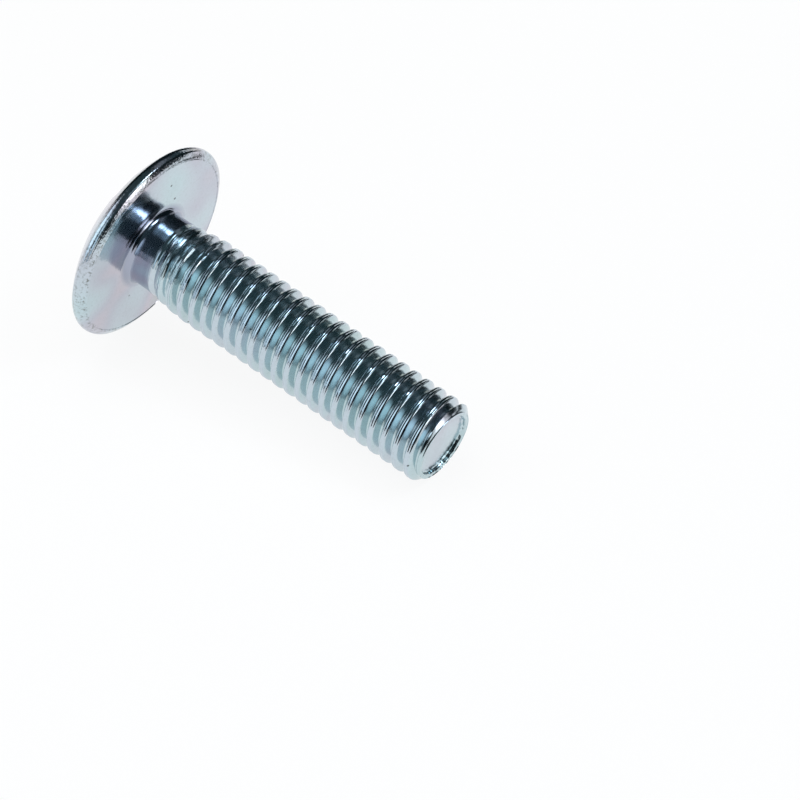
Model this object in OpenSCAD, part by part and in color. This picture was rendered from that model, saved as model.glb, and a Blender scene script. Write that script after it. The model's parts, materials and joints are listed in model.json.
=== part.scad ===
// Roofing bolt, M6 x 25: mushroom head with a straight slot, short plain neck and
// a thread down to the tip. One piece of steel wire, cold headed, slotted and
// thread rolled. It lies at rest on z = 0, on the rim of its head and on the
// crest of its last thread, with its tip towards +X.

/* [Head] */
// Diameter of the head over its rim
head_d = 14.25; // [11:0.05:18]
// Height of the head, from the bearing face to the top of the dome
head_h = 3.2; // [2.4:0.05:4.5]
// Radius of the round on the rim
rim_r = 0.5; // [0.3:0.05:0.8]

/* [Slot] */
// Width of the screwdriver slot
slot_w = 1.8; // [1:0.05:2.4]
// Depth of the slot below the top of the dome
slot_depth = 1.7; // [1:0.05:2]
// Turn of the slot about the bolt's axis
slot_turn = -16; // [-90:1:90]

/* [Shank] */
// Length under the head, from the bearing face to the tip
shank_len = 24.6; // [16:0.1:60]
// Diameter of the plain neck, which is the blank that the thread is rolled on
neck_d = 5.25; // [4.8:0.05:5.5]
// Length of the plain neck under the head
neck_len = 1.5; // [1:0.1:8]
// Radius of the fillet between the neck and the bearing face
fillet_r = 0.55; // [0.2:0.05:0.9]

/* [Thread] */
// Major diameter of the thread, over its crests
thread_d = 5.95; // [5.6:0.05:7]

/* [Tip] */
// Diameter of the flat lip at the tip
tip_d = 5; // [4.5:0.05:5.4]
// Length of the bevel from the thread's crest down to the lip
bevel_len = 0.45; // [0.3:0.05:1]
// Diameter of the shallow cup that thread rolling leaves in the end face
cup_d = 4.2; // [3:0.05:4.4]
// Depth of that cup
cup_depth = 0.25; // [0.1:0.05:0.5]

/* [Hidden] */
$fn = 96;
slack = 1;                                    // how far a cutter runs past what it cuts
zinc = [0.80, 0.83, 0.87];

thread_r = thread_d / 2;
neck_r = neck_d / 2;
thread_start = neck_len + thread_r - neck_r;  // full crest begins, after a 45 degree run-out
thread_end = shank_len - bevel_len;           // full crest ends

// The rim's round meets the bearing face and the dome smoothly. The dome is one
// sphere: its centre lies this far under the bearing face.
rim_centre = head_d / 2 - rim_r;
dome_drop = (rim_centre * rim_centre + rim_r * rim_r - pow(head_h - rim_r, 2))
    / (2 * (head_h - 2 * rim_r));
dome_r = dome_drop + head_h;
cup_r = (cup_d * cup_d / 4 + cup_depth * cup_depth) / (2 * cup_depth);

// At rest the bolt touches the floor with the round of its rim and with the last
// full crest. The tilt is that of the line which touches both.
rest_run = thread_end + rim_r;
rest_rise = rim_centre - thread_r;
tilt = atan2(rest_rise, rest_run) + asin(rim_r / norm([rest_run, rest_rise]));
axis_height = thread_end * sin(tilt) + thread_r * cos(tilt);
back_reach = dome_r - dome_drop * cos(tilt);
front_reach = shank_len * cos(tilt) + tip_d / 2 * sin(tilt);

// Half section of the head, above the bearing face at y = 0
module head_section() {
    // the dome, up to the line on which it meets the rim
    intersection() {
        translate([0, -dome_drop]) circle(dome_r);
        polygon([
            [0, 0],
            [rim_centre * dome_drop / (dome_drop + rim_r), 0],
            2 * [rim_centre, rim_r] + [0, dome_drop],
            [0, 2 * head_h + dome_drop]
        ]);
    }
    // the rim and the flat plate under the dome
    translate([rim_centre, rim_r]) circle(rim_r);
    square([rim_centre, rim_r]);
}

// Half section of the fillet that joins the neck to the bearing face
module fillet_section() {
    difference() {
        translate([0, -fillet_r]) square([neck_r + fillet_r, fillet_r + rim_r]);
        translate([neck_r + fillet_r, -fillet_r]) circle(fillet_r);
    }
}

// Half section of the neck and the threaded part, over its crests
module shank_section() {
    difference() {
        polygon([
            [0, rim_r],
            [neck_r, rim_r],
            [neck_r, -neck_len],
            [thread_r, -thread_start],
            [thread_r, -thread_end],
            [tip_d / 2, -shank_len],
            [0, -shank_len]
        ]);
        translate([0, -shank_len + cup_depth - cup_r]) circle(cup_r);
    }
}

// The straight slot, sawn right across the dome
module slot_cutter() {
    rotate([0, 0, slot_turn])
        translate([-head_d, -slot_w / 2, head_h - slot_depth])
            cube([2 * head_d, slot_w, slot_depth + slack]);
}

module bolt() {
    color(zinc)
        translate([(back_reach - front_reach) / 2, 0, axis_height])
            rotate([0, tilt - 90, 0])
                difference() {
                    union() {
                        rotate_extrude() head_section();
                        rotate_extrude() fillet_section();
                        rotate_extrude() shank_section();
                    }
                    slot_cutter();
                }
}

bolt();
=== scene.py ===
import json
import math

import bmesh
import bpy
from mathutils import Matrix, Vector, noise


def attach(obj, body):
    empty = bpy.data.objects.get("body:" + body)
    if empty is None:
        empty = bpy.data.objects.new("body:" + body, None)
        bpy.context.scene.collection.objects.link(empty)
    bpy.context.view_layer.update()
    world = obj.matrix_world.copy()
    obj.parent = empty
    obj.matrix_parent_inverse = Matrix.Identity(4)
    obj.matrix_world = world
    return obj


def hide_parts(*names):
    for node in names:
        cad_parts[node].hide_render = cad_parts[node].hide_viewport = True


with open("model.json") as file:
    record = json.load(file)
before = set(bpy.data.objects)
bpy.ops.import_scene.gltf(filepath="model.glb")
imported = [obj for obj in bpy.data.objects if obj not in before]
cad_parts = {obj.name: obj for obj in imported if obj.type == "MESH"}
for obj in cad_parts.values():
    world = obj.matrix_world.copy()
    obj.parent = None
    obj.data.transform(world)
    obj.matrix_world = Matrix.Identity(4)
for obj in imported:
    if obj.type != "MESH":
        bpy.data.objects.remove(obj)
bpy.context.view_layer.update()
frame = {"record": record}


# ---------------------------------------------------------------------------
# Roofing bolt, M6 x 25. One piece of mild steel wire: the mushroom head is
# cold headed and slotted, the thread is rolled on a blank thinner than its
# crests, and the whole is bright zinc plated and blue passivated.
# ---------------------------------------------------------------------------

MM = 0.001               # one millimetre, in metres

# The bolt's own frame: z runs from the bearing face up through the head, x is
# the side that lies uppermost. Its origin is where the axis meets that face.
mounts = {m["name"]: m for m in frame["record"]["mounts"]}
to_tip = Vector(mounts["thread"]["axis"]).normalized()
sideways = Vector((0, 1, 0))
uppermost = to_tip.cross(sideways).normalized()
on_axis = Vector(mounts["thread"]["pos_m"])
on_face = Vector(mounts["bearing_face"]["pos_m"])
lie = Matrix((uppermost, sideways, -to_tip)).transposed().to_4x4()
lie.translation = on_axis + to_tip * (on_face - on_axis).dot(to_tip)

# Sizes in millimetres, as in the part's source
head_r, head_h, rim_r = 7.125, 3.2, 0.5
slot_half, slot_floor, slot_turn = 0.9, 1.5, math.radians(-16)
slot_edge_r = 0.09
neck_r, neck_len, fillet_r = 2.625, 1.5, 0.55
thread_r, pitch, crest_w, root_w = 2.975, 1.0, 0.3, 0.12
shank_len, bevel_len, tip_r = 24.6, 0.45, 2.5

points, faces = [], []


def ring(xyz):
    """Adds points and returns their indices."""
    first = len(points)
    points.extend(xyz)
    return list(range(first, len(points)))


def skin(a, b, closed=True):
    """Joins two rows of as many points with quads, wound so that b lies outward of a."""
    n = len(a)
    for i in range(n if closed else n - 1):
        k = (i + 1) % n
        faces.append((a[i], b[i], b[k], a[k]))


# Head: the dome is one sphere that meets the round of the rim smoothly. Its
# rows run from the edge of the slot out to the rim, so the slot's walls stand
# on straight rows of points.
rim_c = head_r - rim_r
dome_drop = (rim_c**2 + rim_r**2 - (head_h - rim_r) ** 2) / (2 * (head_h - 2 * rim_r))
dome_r = dome_drop + head_h
rim_lift = math.atan2(rim_r + dome_drop, rim_c)
dome_edge = dome_r * math.cos(rim_lift)
slot_end = math.sqrt(dome_r**2 - (slot_floor + dome_drop) ** 2)
slot_reach = math.sqrt(slot_end**2 - slot_half**2)
end_angle = math.asin(slot_half / slot_end)


def dome_z(x, y):
    return math.sqrt(dome_r**2 - x * x - y * y) - dome_drop


def turned(x, y, z):
    """A point given along and across the slot, in the bolt's frame."""
    c, s = math.cos(slot_turn), math.sin(slot_turn)
    return (x * c - y * s, x * s + y * c, z)


WALL_STEPS, END_STEPS, EDGE_ROWS, DOME_ROWS, RIM_ROWS = 140, 14, 5, 20, 20
ROW_CROWDING = 0.8       # under 1, the rows of the dome stand closer together towards the rim
rim_angles = []          # one for each column of points round the head
inner = []               # where that column starts: (x, y, height of the slot's wall there)
for half in (0, 1):
    for i in range(WALL_STEPS):
        t = i / WALL_STEPS
        rim_angles.append(math.pi * half + end_angle + t * (math.pi - 2 * end_angle))
        x = slot_reach * math.cos(math.pi * t) * (1 - 2 * half)
        y = slot_half * (1 - 2 * half)
        inner.append((x, y, max(dome_z(x, y) - slot_floor, 0.0)))
    for i in range(END_STEPS):
        a = math.pi * (1 + half) - end_angle + 2 * end_angle * i / END_STEPS
        rim_angles.append(a)
        inner.append((slot_end * math.cos(a), slot_end * math.sin(a), 0.0))
COLUMNS = len(rim_angles)

# From foot to rim: one row halfway up the slot's wall, the rows over its rounded
# edge, then those of the dome
wall_foot = []
wall_rows = [[] for _ in range(1 + EDGE_ROWS)]
dome_rows = [[] for _ in range(DOME_ROWS + 1)]
for (x, y, wall), a in zip(inner, rim_angles):
    edge = min(slot_edge_r, 0.45 * wall)
    edge_y = y + math.copysign(edge, y)
    low = (x, y, slot_floor + wall - edge)
    top = (x, y, slot_floor + wall)
    out = (x, edge_y, dome_z(x, edge_y)) if wall > 0 else top
    wall_foot.append(turned(x, y, slot_floor))
    wall_rows[0].append(turned(x, y, slot_floor + 0.5 * (wall - edge)))
    for k in range(EDGE_ROWS):
        t = k / (EDGE_ROWS - 1)
        p = [(1 - t) ** 2 * low[c] + 2 * t * (1 - t) * top[c] + t * t * out[c] for c in range(3)]
        wall_rows[1 + k].append(turned(*p))
    for k in range(DOME_ROWS + 1):
        t = (k / DOME_ROWS) ** ROW_CROWDING
        px = out[0] + t * (dome_edge * math.cos(a) - out[0])
        py = out[1] + t * (dome_edge * math.sin(a) - out[1])
        dome_rows[k].append(turned(px, py, dome_z(px, py)))

foot = ring(wall_foot)
last = foot
for row in wall_rows + dome_rows[1:]:
    new = ring(row)
    skin(last, new)
    last = new
# the floor of the slot, wall to wall, with a round end on each side
for i in range(WALL_STEPS):
    j = 2 * WALL_STEPS + END_STEPS - i
    faces.append((foot[i], foot[i + 1], foot[(j - 1) % COLUMNS], foot[j % COLUMNS]))
for first in (WALL_STEPS, 2 * WALL_STEPS + END_STEPS):
    faces.append(tuple(foot[(first + i) % COLUMNS] for i in range(END_STEPS + 1)))


def round_head(r, z):
    """A row of points round the head, one for each of its columns."""
    return ring([(r * math.cos(a + slot_turn), r * math.sin(a + slot_turn), z) for a in rim_angles])


# Rim, nearly straight on its underside where the die held it, and a fine crease
# round the flat bearing face, where the metal lapped over at the die's edge
straight_from, straightness = math.radians(-32), 0.8
crease = [(0.02, 0.012), (0.05, 0.04), (0.08, 0.03), (0.11, 0.004), (0.14, 0)]     # inward, and deep
rim_rows = []
for k in range(1, RIM_ROWS + 1):
    q = rim_lift - (rim_lift + math.pi / 2) * k / RIM_ROWS
    r, z = rim_c + rim_r * math.cos(q), rim_r + rim_r * math.sin(q)
    if q < straight_from:
        t = (straight_from - q) / (straight_from + math.pi / 2)
        r += straightness * ((1 - t) * rim_r * math.cos(straight_from) + rim_c - r)
        z += straightness * ((1 - t) * rim_r * (1 + math.sin(straight_from)) - z)
    rim_rows.append((r, z))
for r, z in rim_rows + [(rim_c - inward, deep) for inward, deep in crease]:
    new = round_head(r, z)
    skin(last, new)
    last = new
outer_ring, outer_angles = last, [(a + slot_turn) % (2 * math.pi) for a in rim_angles]

# Shank: as many columns all the way down
SHANK_COLUMNS = 160
shank_angles = [2 * math.pi * i / SHANK_COLUMNS for i in range(SHANK_COLUMNS)]


def round_ring(r, z):
    return ring([(r * math.cos(a), r * math.sin(a), z) for a in shank_angles])


def stitch(a, a_angles, b, b_angles):
    """Joins an outer ring a to an inner ring b that has another number of points."""
    start = min(range(len(a)), key=lambda i: a_angles[i])
    a = a[start:] + a[:start]
    a_angles = a_angles[start:] + a_angles[:start]
    i = j = 0
    while i < len(a) or j < len(b):
        next_a = a_angles[i + 1] if i + 1 < len(a) else a_angles[0] + 2 * math.pi
        next_b = b_angles[j + 1] if j + 1 < len(b) else b_angles[0] + 2 * math.pi
        if j >= len(b) or (i < len(a) and next_a <= next_b):
            faces.append((a[i], b[j % len(b)], a[(i + 1) % len(a)]))
            i += 1
        else:
            faces.append((a[i % len(a)], b[j], b[(j + 1) % len(b)]))
            j += 1


# the flat face ends just outside the fillet, and the neck is plain down to the thread's first row
FILLET_ROWS = 8
thread_top = fillet_r + 0.5
neck_rows = []
for k in range(FILLET_ROWS + 1):
    q = math.pi / 2 * k / FILLET_ROWS
    neck_rows.append((neck_r + fillet_r * (1 - math.sin(q)), -fillet_r * (1 - math.cos(q))))
neck_rows += [(neck_r, -fillet_r - 0.05), (neck_r, -fillet_r - 0.27), (neck_r, -thread_top)]
last = round_ring(neck_r + fillet_r + 0.05, 0)
stitch(outer_ring, outer_angles, last, shank_angles)
for r, z in neck_rows:
    new = round_ring(r, z)
    skin(last, new)
    last = new

# Thread: rows of points follow the helix, so its edges stay crisp. Each entry
# is the distance along the axis from the middle of the groove, and the radius.
flank_run = math.tan(math.radians(30))
groove_depth = (pitch - crest_w - root_w) / (2 * flank_run)
root_r = thread_r - groove_depth
half_root, half_groove = root_w / 2, (pitch - crest_w) / 2
half_profile = [
    (half_root, root_r + 0.006),
    (half_root + 0.05, root_r + 0.05 / flank_run),
    (half_root + 0.14, root_r + 0.14 / flank_run),
    (half_groove - 0.07, thread_r - 0.07 / flank_run),
    (half_groove - 0.035, thread_r - 0.066),
    (half_groove - 0.006, thread_r - 0.026),
    (half_groove + 0.03, thread_r - 0.006),
    (half_groove + 0.065, thread_r),
    (half_groove + 0.1, thread_r - 0.008),
]
profile = [(0, root_r)] + half_profile + [(pitch / 2, thread_r - 0.034)]
profile += [(pitch - a, r) for a, r in reversed(half_profile)]
PER_TURN = len(profile)

thread_end = shank_len - bevel_len
under_groove = thread_end - crest_w / 2 + pitch / 2      # a groove's middle, right under the axis


def smooth(x, low, high):
    t = min(max((x - low) / (high - low), 0), 1)
    return t * t * (3 - 2 * t)


def waver(s, angle, round_it, down_it):
    """Smooth noise from -1 to 1 on the shank, with so many waves round it and down it."""
    return noise.noise(Vector((math.cos(angle) * round_it, math.sin(angle) * round_it, s * down_it)))


# how far below the neck's end the crests and the grooves reach their full form
run_in, crest_run, groove_run = 0.3, 3.2, 1.6
# how deep the seam on the first crests is, and how much the metal wavers
seam_deep, crest_waver, first_waver = 0.07, 0.007, 0.022


def thread_radius(s, r, angle):
    """The radius at a depth s below the head, for a profile radius r."""
    coarse = waver(s, angle, 2.2, 1.1)
    if r > neck_r:
        rise = smooth(s, neck_len - run_in, neck_len + crest_run + 0.8 * coarse)
    else:
        rise = smooth(s, neck_len - run_in, neck_len + groove_run)
    if r > thread_r - 0.03:
        # the first crests are rolled less full and keep a seam along their middle
        seam = 0
        if r < thread_r - 0.02:
            seam = seam_deep * (1 - smooth(s, 3.0, 7.0)) * (0.7 + 0.9 * coarse)
        r += crest_waver * waver(s, angle, 9, 4) - seam - crest_waver
    r += first_waver * (1 - smooth(s, 2.5, 6.5)) * waver(s, angle, 14, 5)
    r = neck_r + (r - neck_r) * rise
    over = s - thread_end
    if over > 0:
        r = min(r, thread_r - over * (thread_r - tip_r) / bevel_len)
        r += (tip_r - r) * smooth(over, bevel_len * 0.7, bevel_len)
    return r


first_turn = -2
turns = math.ceil(shank_len / pitch) + 4
phase = under_groove % pitch
grid = []
for row in range(turns * PER_TURN):
    turn, m = divmod(row, PER_TURN)
    offset, r = profile[m]
    start = phase + (first_turn + turn) * pitch + offset + pitch / 2
    line = []
    for a in shank_angles + [2 * math.pi]:
        s = min(max(start - pitch * a / (2 * math.pi), thread_top), shank_len)
        rr = thread_radius(s, r, a)
        line.append((rr * math.cos(a), rr * math.sin(a), -s))
    grid.append(line)
grid = [line for line in grid
        if min(p[2] for p in line) < -thread_top and max(p[2] for p in line) > -shank_len]
rows = [ring(line) for line in grid]
for a, b in zip(rows, rows[1:]):
    skin(a, b, closed=False)

# Tip: a rough round lip with its edge broken, and the shallow cup that rolling
# leaves. Each row is a radius, and how far it lies back from the end.
TIP_ROWS = 10
lip = [(2.47, 0.02), (2.42, 0.005), (2.36, 0.0), (2.29, 0.0), (2.24, 0.012), (2.205, 0.05), (2.185, 0.11),
       (2.17, 0.18), (2.14, 0.235), (2.08, 0.262)]
lip_inner_r, cup_roughness = 2.12, 0.06
cup_edge, cup_deep, cup_dish = 2.01, 0.275, 0.01
cup = [cup_edge * (1 - k / TIP_ROWS) for k in range(TIP_ROWS)]
last = round_ring(tip_r, -shank_len)
for r, back in lip + [(r, cup_deep - cup_dish * (r / cup_edge) ** 2) for r in cup]:
    new = []
    for a in shank_angles:
        x, y = math.cos(a), math.sin(a)
        rough = noise.noise(Vector((x * 11, y * 11, r * 6))) * (1 if r > lip_inner_r else cup_roughness)
        swell = 1 + 0.014 * rough
        dent = 0.05 * max(rough + 0.2, 0)
        new.append((r * x * swell, r * y * swell, back + dent - shank_len))
    new = ring(new)
    skin(last, new)
    last = new
faces.append(tuple(last))

mesh = bpy.data.meshes.new("roofing_bolt")
mesh.from_pydata([tuple(c * MM for c in p) for p in points], [], faces)
bm = bmesh.new()
bm.from_mesh(mesh)
bmesh.ops.remove_doubles(bm, verts=bm.verts, dist=0.0008 * MM)
bmesh.ops.dissolve_degenerate(bm, edges=bm.edges, dist=0.0004 * MM)
bmesh.ops.recalc_face_normals(bm, faces=bm.faces)
bm.to_mesh(mesh)
bm.free()
# every point keeps its place in the bolt's own frame, in millimetres, for the finish
own_place = mesh.attributes.new("own_place", "FLOAT_VECTOR", "POINT")
for v, place in zip(mesh.vertices, own_place.data):
    place.vector = v.co / MM
mesh.transform(lie)
mesh.shade_smooth()
mesh.set_sharp_from_angle(angle=math.radians(38))

bolt = bpy.data.objects.new("roofing_bolt", mesh)
bpy.context.scene.collection.objects.link(bolt)

# Finish: bright zinc, blue passivated. The film of the passivation shifts softly
# between blue, lavender, pink and green; under it the plate is slightly uneven,
# with fine streaks round the axis from the rolls and a few small pits.
zinc = bpy.data.materials.new("bright_zinc_plate")
zinc.use_nodes = True
nodes, links = zinc.node_tree.nodes, zinc.node_tree.links
metal = nodes["Principled BSDF"]
metal.inputs["Metallic"].default_value = 1.0

place = nodes.new("ShaderNodeAttribute")
place.attribute_name = "own_place"


def cloud(name, scale, detail, roughness=0.5):
    """Soft noise in the bolt's own frame, scale in waves per millimetre."""
    node = nodes.new("ShaderNodeTexNoise")
    node.name = name
    node.inputs["Scale"].default_value = scale
    node.inputs["Detail"].default_value = detail
    node.inputs["Roughness"].default_value = roughness
    links.new(place.outputs["Vector"], node.inputs["Vector"])
    return node.outputs["Fac"]


def work_out(operation, a, b=0, clamp=False):
    """A sum of two values, each a socket or a number."""
    node = nodes.new("ShaderNodeMath")
    node.operation = operation
    node.use_clamp = clamp
    for socket, value in zip(node.inputs, (a, b)):
        if isinstance(value, (int, float)):
            socket.default_value = value
        else:
            links.new(value, socket)
    return node.outputs["Value"]


def spread(value, low, high, to_low, to_high):
    """Goes from to_low to to_high as the value goes from low to high, and no further."""
    node = nodes.new("ShaderNodeMapRange")
    node.inputs["From Min"].default_value = low
    node.inputs["From Max"].default_value = high
    node.inputs["To Min"].default_value = to_low
    node.inputs["To Max"].default_value = to_high
    links.new(value, node.inputs["Value"])
    return node.outputs["Result"]


def lay_over(name, mask, under, over):
    """Lays a plain colour over another one where the mask is 1."""
    node = nodes.new("ShaderNodeMix")
    node.data_type = "RGBA"
    node.name = name
    links.new(mask, node.inputs["Factor"])
    links.new(under, node.inputs[6])
    node.inputs[7].default_value = (*over, 1)
    return node.outputs[2]


def both(a, b):
    """Where two masks overlap."""
    return work_out("MULTIPLY", a, b, clamp=True)


# Where a point lies: its height (0 on the bearing face, less towards the tip) and
# its distance from the axis
parts = nodes.new("ShaderNodeSeparateXYZ")
links.new(place.outputs["Vector"], parts.inputs["Vector"])
height_up = parts.outputs["Z"]
level = nodes.new("ShaderNodeCombineXYZ")
links.new(parts.outputs["X"], level.inputs["X"])
links.new(parts.outputs["Y"], level.inputs["Y"])
reach = nodes.new("ShaderNodeVectorMath")
reach.operation = "LENGTH"
links.new(level.outputs["Vector"], reach.inputs[0])
from_axis = reach.outputs["Value"]

# The film, thicker and so more lavender on the head and in the cup at the tip
film = nodes.new("ShaderNodeValToRGB")
film.name = "passivation_film"
film_colours = [(0.30, (0.50, 0.625, 0.655)), (0.42, (0.545, 0.66, 0.705)), (0.52, (0.55, 0.62, 0.68)),
                (0.60, (0.53, 0.555, 0.63)), (0.67, (0.58, 0.555, 0.62)), (0.77, (0.50, 0.55, 0.56))]
while len(film.color_ramp.elements) < len(film_colours):
    film.color_ramp.elements.new(0.5)
for stop, (at, colour) in zip(film.color_ramp.elements, film_colours):
    stop.position = at
    stop.color = (*colour, 1)
across_head = work_out("MULTIPLY", spread(parts.outputs["X"], -5.0, 5.0, 0.055, -0.05),
                       spread(height_up, -1.0, -0.3, 0, 1))
on_head = work_out("ADD", spread(height_up, -1.5, 0.0, -0.05, 0.055), across_head)
in_cup = work_out("MULTIPLY", spread(from_axis, 2.2, 2.05, 0, 0.17), spread(height_up, -24.0, -24.15, 0, 1))
on_tip = work_out("ADD", in_cup, spread(height_up, -24.0, -24.2, 0.0, -0.04))
thickness = work_out("ADD", work_out("ADD", cloud("film_patches", 0.19, 0.8), on_head), on_tip)
links.new(thickness, film.inputs["Fac"])

# Pits: a small spot in about every third cell
cells = nodes.new("ShaderNodeTexVoronoi")
cells.name = "pits"
cells.inputs["Scale"].default_value = 0.62
links.new(place.outputs["Vector"], cells.inputs["Vector"])
split = nodes.new("ShaderNodeSeparateColor")
links.new(cells.outputs["Color"], split.inputs["Color"])
chosen = work_out("GREATER_THAN", split.outputs["Red"], 0.66)
pit = both(spread(cells.outputs["Distance"], 0.035, 0.07, 1.0, 0.0), chosen)

# The rolls burnish the crests of the thread, and the rim and its crease are dull in
# small specks. The neck and the corner under the head are painted darker, as painted shade
crest = both(spread(from_axis, 2.86, 2.93, 0, 1), spread(height_up, -1.5, -2.5, 0, 1))
on_rim = both(spread(from_axis, 6.45, 6.75, 0, 1), spread(height_up, 1.6, 1.1, 0, 1))
in_crease = both(spread(from_axis, 6.45, 6.55, 0, 1), spread(height_up, 0.10, 0.03, 0, 1))
specks_everywhere, specks_on_rim, specks_in_crease = 0.10, 0.5, 0.9
specked = work_out("ADD", work_out("MULTIPLY", on_rim, specks_on_rim),
                   work_out("MULTIPLY", in_crease, specks_in_crease), clamp=True)
specked = work_out("ADD", specked, specks_everywhere, clamp=True)
specks = both(spread(cloud("speckle", 4.5, 3.0, roughness=0.7), 0.50, 0.66, 0, 1), specked)
# painted shade: darker colour round the neck, from just below the thread's start up to the bearing face
painted_neck_shade = both(spread(from_axis, 3.3, 2.9, 0, 1), spread(height_up, -2.0, -1.5, 0, 1))
painted_neck_shade = both(painted_neck_shade, spread(height_up, 0.3, 0.1, 0, 1))
colour = lay_over("burnished_crests", crest, film.outputs["Color"], (0.54, 0.625, 0.69))
colour = lay_over("dull_specks", specks, colour, (0.22, 0.24, 0.235))
# painted shade in the corner under the head, laid over the film colour
colour = lay_over("painted_shade_under_head", painted_neck_shade, colour, (0.37, 0.40, 0.49))
colour = lay_over("dark_pits", pit, colour, (0.03, 0.035, 0.04))
links.new(colour, metal.inputs["Base Color"])

# Gloss: dull in soft patches, duller on the thread, and polished on its crests
crest_polish = 0.08
dull = work_out("ADD", spread(cloud("dull_patches", 0.8, 3.0), 0.35, 0.65, 0.11, 0.17),
                spread(height_up, -2.0, -3.0, 0.0, 0.05))
links.new(work_out("SUBTRACT", dull, work_out("MULTIPLY", crest, crest_polish)), metal.inputs["Roughness"])

# Streaks run round the axis, on the shank and on the flat face alike
streak_drift, streaks_per_mm = 0.6, 9.0
rolled = nodes.new("ShaderNodeCombineXYZ")
links.new(work_out("MULTIPLY", parts.outputs["X"], streak_drift), rolled.inputs["X"])
links.new(work_out("MULTIPLY", parts.outputs["Y"], streak_drift), rolled.inputs["Y"])
along = work_out("SUBTRACT", height_up, from_axis)
links.new(work_out("MULTIPLY", along, streaks_per_mm), rolled.inputs["Z"])
streaks = nodes.new("ShaderNodeTexNoise")
streaks.name = "roll_streaks"
streaks.inputs["Scale"].default_value = 1.0
streaks.inputs["Detail"].default_value = 2.0
links.new(rolled.outputs["Vector"], streaks.inputs["Vector"])

# Relief, each height in millimetres: fine grain, most on the rim; a slow swell,
# most on the flat face; streaks, least on the thread; and the pits
grain_high, grain_on_rim, swell_high, swell_on_face, pit_deep = 0.0020, 0.013, 0.008, 0.012, 0.02
on_face = both(spread(height_up, -0.7, -0.5, 0, 1), spread(height_up, 0.15, 0.05, 0, 1))
grain_share = work_out("ADD", work_out("MULTIPLY", on_rim, grain_on_rim), grain_high)
swell_share = work_out("ADD", work_out("MULTIPLY", on_face, swell_on_face), swell_high)
height = work_out("ADD", work_out("MULTIPLY", cloud("grain", 5.0, 2.0), grain_share),
                  work_out("MULTIPLY", cloud("uneven_plate", 0.9, 1.0), swell_share))
height = work_out("ADD", height, work_out("MULTIPLY", streaks.outputs["Fac"],
                                          spread(height_up, -3.5, -2.0, 0.0012, 0.0042)))
height = work_out("SUBTRACT", height, work_out("MULTIPLY", pit, pit_deep))
relief = nodes.new("ShaderNodeBump")
relief.inputs["Distance"].default_value = MM
links.new(height, relief.inputs["Height"])
links.new(relief.outputs["Normal"], metal.inputs["Normal"])
mesh.materials.append(zinc)

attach(bolt, "root")
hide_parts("bolt")


# ---------------------------------------------------------------------------
# Sheet of white card: flat under the bolt, and swept up into a low wall all
# round. It is plain matt card that throws back white, and shows a soft shadow.
# ---------------------------------------------------------------------------
flat_r, wall_r = 0.9, 0.3          # metres, as all sizes of the card and the lamp are
sweep = [(0.0, 0.0), (0.05, 0.0), (0.3, 0.0), (flat_r, 0.0)]
for turn in (0.2, 0.5, 0.8, 1.1, 1.4, math.pi / 2):
    sweep.append((flat_r + wall_r * math.sin(turn), wall_r - wall_r * math.cos(turn)))
ROUND = 64
card_angles = [2 * math.pi * i / ROUND for i in range(ROUND)]
card_points = [(0, 0, 0)]
for r, z in sweep[1:]:
    card_points += [(r * math.cos(a), r * math.sin(a), z) for a in card_angles]
card_faces = [(0, 1 + i, 1 + (i + 1) % ROUND) for i in range(ROUND)]
for k in range(len(sweep) - 2):
    low, high = 1 + k * ROUND, 1 + (k + 1) * ROUND
    card_faces += [(low + i, high + i, high + (i + 1) % ROUND, low + (i + 1) % ROUND) for i in range(ROUND)]
card_mesh = bpy.data.meshes.new("white_card")
card_mesh.from_pydata(card_points, [], card_faces)
card_mesh.shade_smooth()
white_card = bpy.data.objects.new("white_card", card_mesh)
bpy.context.scene.collection.objects.link(white_card)

card_finish = bpy.data.materials.new("matt_white_card")
card_finish.use_nodes = True
nodes, links = card_finish.node_tree.nodes, card_finish.node_tree.links
matt = nodes["Principled BSDF"]
matt.inputs["Base Color"].default_value = (0.9, 0.9, 0.9, 1)
matt.inputs["Roughness"].default_value = 0.9
glow = nodes.new("ShaderNodeEmission")
white_share, mirrored_share = 0.9, 0.88      # how white the card is to the eye, and less so in the metal
ray = nodes.new("ShaderNodeLightPath")
seen = work_out("ADD", ray.outputs["Is Camera Ray"], ray.outputs["Is Transmission Ray"], clamp=True)
seen = work_out("ADD", seen, work_out("MULTIPLY", ray.outputs["Is Glossy Ray"], mirrored_share), clamp=True)
white = nodes.new("ShaderNodeMixShader")
links.new(work_out("MULTIPLY", seen, white_share), white.inputs["Fac"])
links.new(matt.outputs["BSDF"], white.inputs[1])
links.new(glow.outputs["Emission"], white.inputs[2])
links.new(white.outputs["Shader"], nodes["Material Output"].inputs["Surface"])
card_mesh.materials.append(card_finish)


# ---------------------------------------------------------------------------
# Light: eight boxes of lit cloth round the bolt, which the bright metal
# mirrors, a soft lamp above for the card alone, and four black flags that
# give the metal its dark bands.
# ---------------------------------------------------------------------------
middle = Vector((0, 0, 6)) * MM


def towards(azimuth, elevation):
    a, e = math.radians(azimuth), math.radians(elevation)
    return Vector((math.cos(a) * math.cos(e), math.sin(a) * math.cos(e), math.sin(e)))


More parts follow.
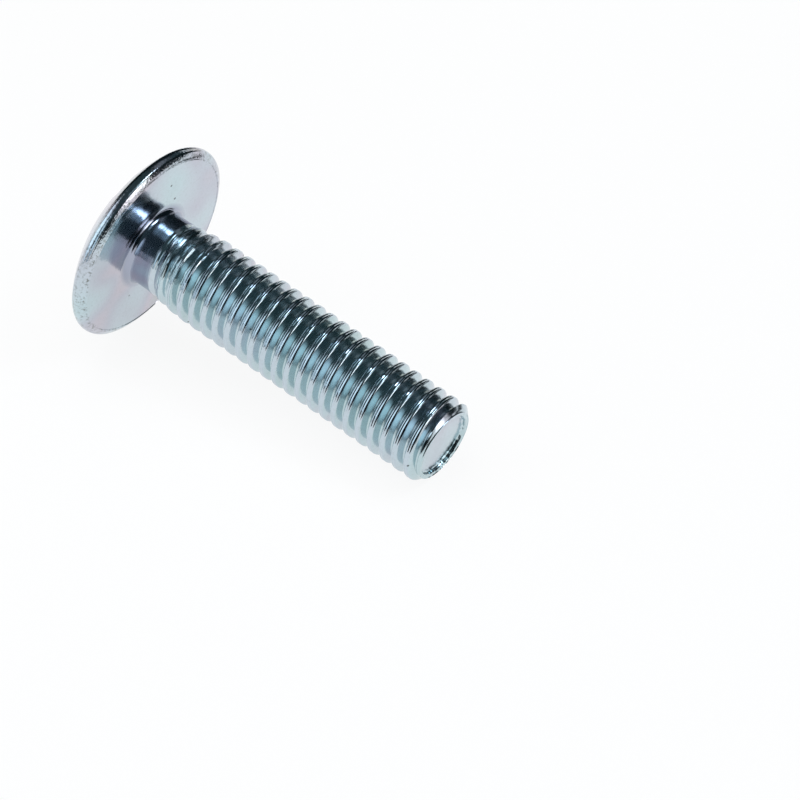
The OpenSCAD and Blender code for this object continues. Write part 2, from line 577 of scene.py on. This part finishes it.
# Lit cloth is even in its middle and falls off softly towards its four edges
soft_edges = bpy.data.node_groups.new("soft_edges", "ShaderNodeTree")
for socket, kind in (("Half Width", "NodeSocketFloat"), ("Half Height", "NodeSocketFloat"),
                     ("Shine", "NodeSocketColor")):
    soft_edges.interface.new_socket(socket, in_out="INPUT", socket_type=kind)
soft_edges.interface.new_socket("Colour", in_out="OUTPUT", socket_type="NodeSocketColor")
nodes, links = soft_edges.nodes, soft_edges.links
given, result = nodes.new("NodeGroupInput"), nodes.new("NodeGroupOutput")
on_cloth = nodes.new("ShaderNodeTexCoord")
sides = nodes.new("ShaderNodeSeparateXYZ")
links.new(on_cloth.outputs["Object"], sides.inputs["Vector"])
EVEN_PART, EDGE_GLOW = 0.35, 0.05
fades = []
for side, half in (("X", "Half Width"), ("Y", "Half Height")):
    fade = nodes.new("ShaderNodeMapRange")
    fade.interpolation_type = "SMOOTHSTEP"
    links.new(work_out("ABSOLUTE", sides.outputs[side]), fade.inputs["Value"])
    links.new(given.outputs[half], fade.inputs["From Min"])
    links.new(work_out("MULTIPLY", given.outputs[half], EVEN_PART), fade.inputs["From Max"])
    fades.append(fade.outputs["Result"])
faded = nodes.new("ShaderNodeVectorMath")
faded.operation = "SCALE"
links.new(given.outputs["Shine"], faded.inputs[0])
links.new(work_out("ADD", work_out("MULTIPLY", *fades), EDGE_GLOW), faded.inputs["Scale"])
links.new(faded.outputs["Vector"], result.inputs["Colour"])

# azimuth and elevation, half width and half height in degrees, distance in mm, shine
soft_boxes = {
    "left_box": (222, 28, 27, 36, 400, (1.20, 1.42, 1.56)),
    "near_box": (277, 26, 15, 34, 400, (0.68, 0.84, 0.96)),
    "right_box": (15, 58, 22, 14, 150, (0.36, 0.52, 0.58)),
    "top_box": (88, 50, 32, 15, 300, (0.15, 0.18, 0.20)),
    "low_strip": (14, 4, 14, 15, 200, (3.4, 3.45, 3.5)),
    "small_box": (28, 51, 15, 11, 150, (5.5, 6.8, 7.9)),
    "end_box": (192, 9, 11, 18, 90, (1.1, 1.08, 1.05)),
    "back_strip": (108, 3, 12, 10, 70, (0.85, 0.86, 0.80)),
}
for name, (azimuth, elevation, half_w, half_h, far, shine) in soft_boxes.items():
    w, h = far * math.tan(math.radians(half_w)), far * math.tan(math.radians(half_h))
    sheet = bpy.data.meshes.new(name)
    sheet.from_pydata([(x * w * MM, y * h * MM, 0) for x, y in ((-1, -1), (1, -1), (1, 1), (-1, 1))], [],
                      [(0, 1, 2, 3)])
    cloth = bpy.data.materials.new(name + "_cloth")
    cloth.use_nodes = True
    nodes, links = cloth.node_tree.nodes, cloth.node_tree.links
    shape = nodes.new("ShaderNodeGroup")
    shape.node_tree = soft_edges
    shape.inputs["Half Width"].default_value = w * MM
    shape.inputs["Half Height"].default_value = h * MM
    shape.inputs["Shine"].default_value = (*shine, 1)
    lit = nodes.new("ShaderNodeEmission")
    links.new(shape.outputs["Colour"], lit.inputs["Color"])
    links.new(lit.outputs["Emission"], nodes["Material Output"].inputs["Surface"])
    sheet.materials.append(cloth)
    box = bpy.data.objects.new(name, sheet)
    bpy.context.scene.collection.objects.link(box)
    box.location = middle + towards(azimuth, elevation) * far * MM
    box.rotation_euler = (middle - box.location).to_track_quat("Z", "Y").to_euler()
    box.visible_camera = box.visible_shadow = False

overhead = bpy.data.lights.new("overhead", "AREA")
overhead.shape = "SQUARE"
overhead.size = 0.8
overhead_glow = 1.9
overhead.energy = math.pi * overhead.size**2 * overhead_glow
lamp = bpy.data.objects.new("overhead", overhead)
bpy.context.scene.collection.objects.link(lamp)
lamp.location = (0, 0, 0.5)
lamp.visible_camera = lamp.visible_glossy = False

black = bpy.data.materials.new("black_flag")
black.use_nodes = True
felt = black.node_tree.nodes["Principled BSDF"]
felt.inputs["Base Color"].default_value = (0.01, 0.018, 0.02, 1)
felt.inputs["Specular IOR Level"].default_value = 0.0
# from one point on the card to another, and the lower and upper edge, all in mm
flags = {
    "flag_right": ((12, -23.5), (26, -2.5), 0, 23),
    "flag_back": ((57.5, 32), (-5.5, 65.5), 0, 43),
    "flag_low": ((23.4, 12.5), (-2.8, 26.4), 0, 3),
    "flag_head": ((-25, 37), (-44.5, 3), 5, 42),
}
for name, (start, end, low, high) in flags.items():
    flag_mesh = bpy.data.meshes.new(name)
    corners = [Vector((*start, low)), Vector((*end, low)), Vector((*end, high)), Vector((*start, high))]
    flag_mesh.from_pydata([tuple(c * MM) for c in corners], [], [(0, 1, 2, 3)])
    flag_mesh.materials.append(black)
    flag = bpy.data.objects.new(name, flag_mesh)
    bpy.context.scene.collection.objects.link(flag)
    flag.visible_camera = flag.visible_diffuse = flag.visible_shadow = False

world = bpy.data.worlds.new("studio")
bpy.context.scene.world = world
world.use_nodes = True
world.node_tree.nodes["Background"].inputs["Color"].default_value = (0.035, 0.06, 0.068, 1)


# ---------------------------------------------------------------------------
# Camera: a long lens, looking down on the bolt from the side of its tip, so
# that the underside of the head shows beyond the thread.
# ---------------------------------------------------------------------------
camera = bpy.data.cameras.new("camera")
camera.lens = 172.854
camera.sensor_width = 36
camera.clip_start = 0.01
eye = bpy.data.objects.new("camera", camera)
bpy.context.scene.collection.objects.link(eye)
aim = Vector((7.6840, 2.9646, 1.3606)) * MM
eye.location = Vector((121.637, -142.400, 169.836)) * MM
eye.rotation_euler = (aim - eye.location).to_track_quat("-Z", "Y").to_euler()
bpy.context.scene.camera = eye

bpy.context.scene.view_settings.view_transform = "Standard"
